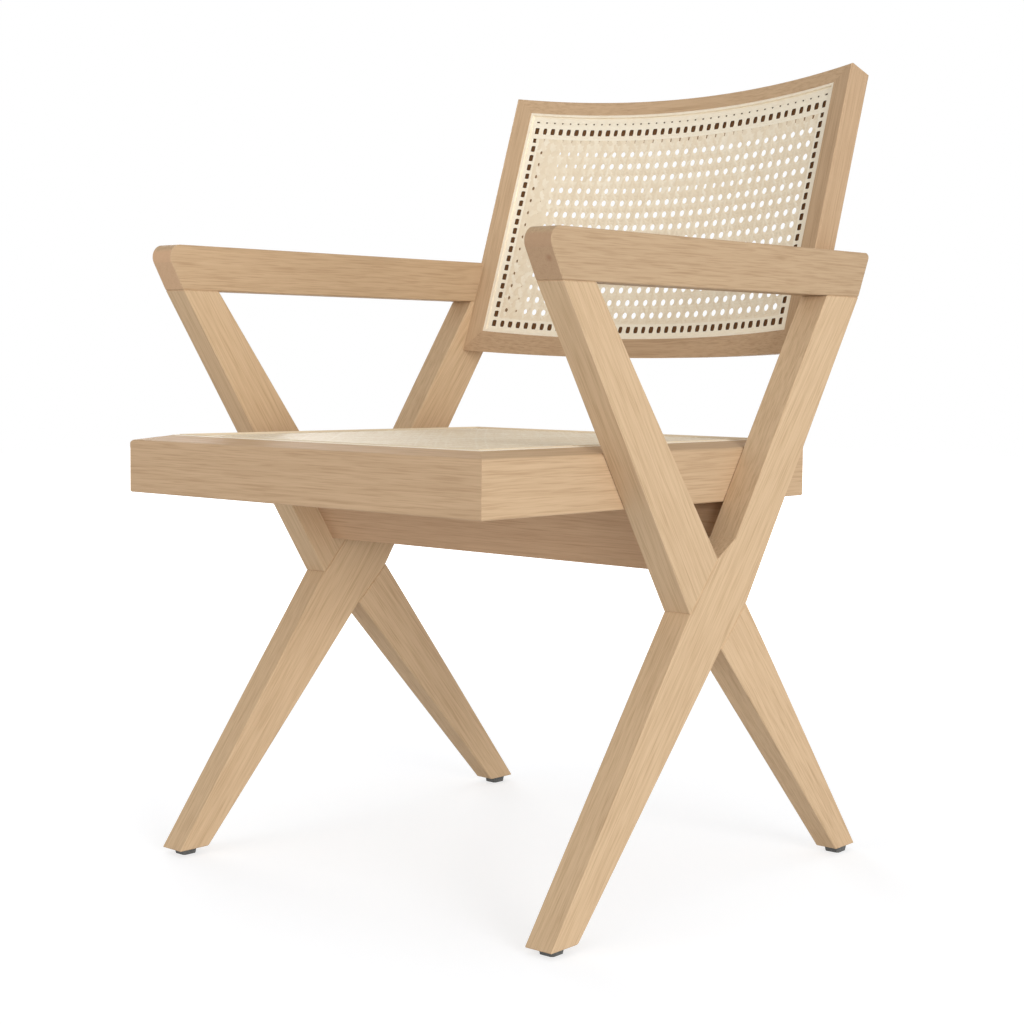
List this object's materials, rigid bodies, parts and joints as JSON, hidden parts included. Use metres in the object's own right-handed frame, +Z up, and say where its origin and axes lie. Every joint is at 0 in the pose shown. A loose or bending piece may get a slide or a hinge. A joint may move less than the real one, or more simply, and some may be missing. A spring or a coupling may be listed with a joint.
{
  "type": "dining armchair",
  "caption": "Wooden dining armchair with crossed-leg side frames, a flat caned seat in a mitred frame, and a reclined, curved caned back.",
  "frame": {"origin": "on the floor, under the middle of the chair's overall width and depth", "axes": "+Z up, -Y the way the sitter faces, +X the sitter's left"},
  "size_m": [0.5706, 0.6589, 0.8657],
  "materials": {
    "frame_wood": "satin clear oil on pale straight-grained hardwood",
    "tenon_wood": "bare sawn hardwood",
    "cane": "natural woven rattan cane",
    "cane_spline": "natural rattan spline",
    "glide_plastic": "moulded dark grey plastic"
  },
  "bodies": {
    "root": {"left_long_leg": "frame_wood", "right_long_leg": "frame_wood", "left_arm_post": "frame_wood", "right_arm_post": "frame_wood", "left_rear_leg": "frame_wood", "right_rear_leg": "frame_wood", "left_armrest": "frame_wood", "right_armrest": "frame_wood", "front_stretcher": "frame_wood", "rear_stretcher": "frame_wood", "seat_front_rail": "frame_wood", "seat_rear_rail": "frame_wood", "seat_left_rail": "frame_wood", "seat_right_rail": "frame_wood", "front_left_corner_block": "frame_wood", "front_right_corner_block": "frame_wood", "rear_left_corner_block": "frame_wood", "rear_right_corner_block": "frame_wood", "back_top_rail": "frame_wood", "back_bottom_rail": "frame_wood", "back_left_stile": "frame_wood", "back_right_stile": "frame_wood", "crossing_tenons": "tenon_wood", "arm_tenons": "tenon_wood", "stretcher_tenons": "tenon_wood", "seat_tenons": "tenon_wood", "back_tenons": "tenon_wood", "seat_corner_tenons": "tenon_wood", "back_corner_tenons": "tenon_wood", "seat_cane": "cane", "back_cane": "cane", "seat_spline": "cane_spline", "back_spline": "cane_spline", "front_left_glide": "glide_plastic", "front_right_glide": "glide_plastic", "rear_left_glide": "glide_plastic", "rear_right_glide": "glide_plastic"}
  },
  "joints": []
}
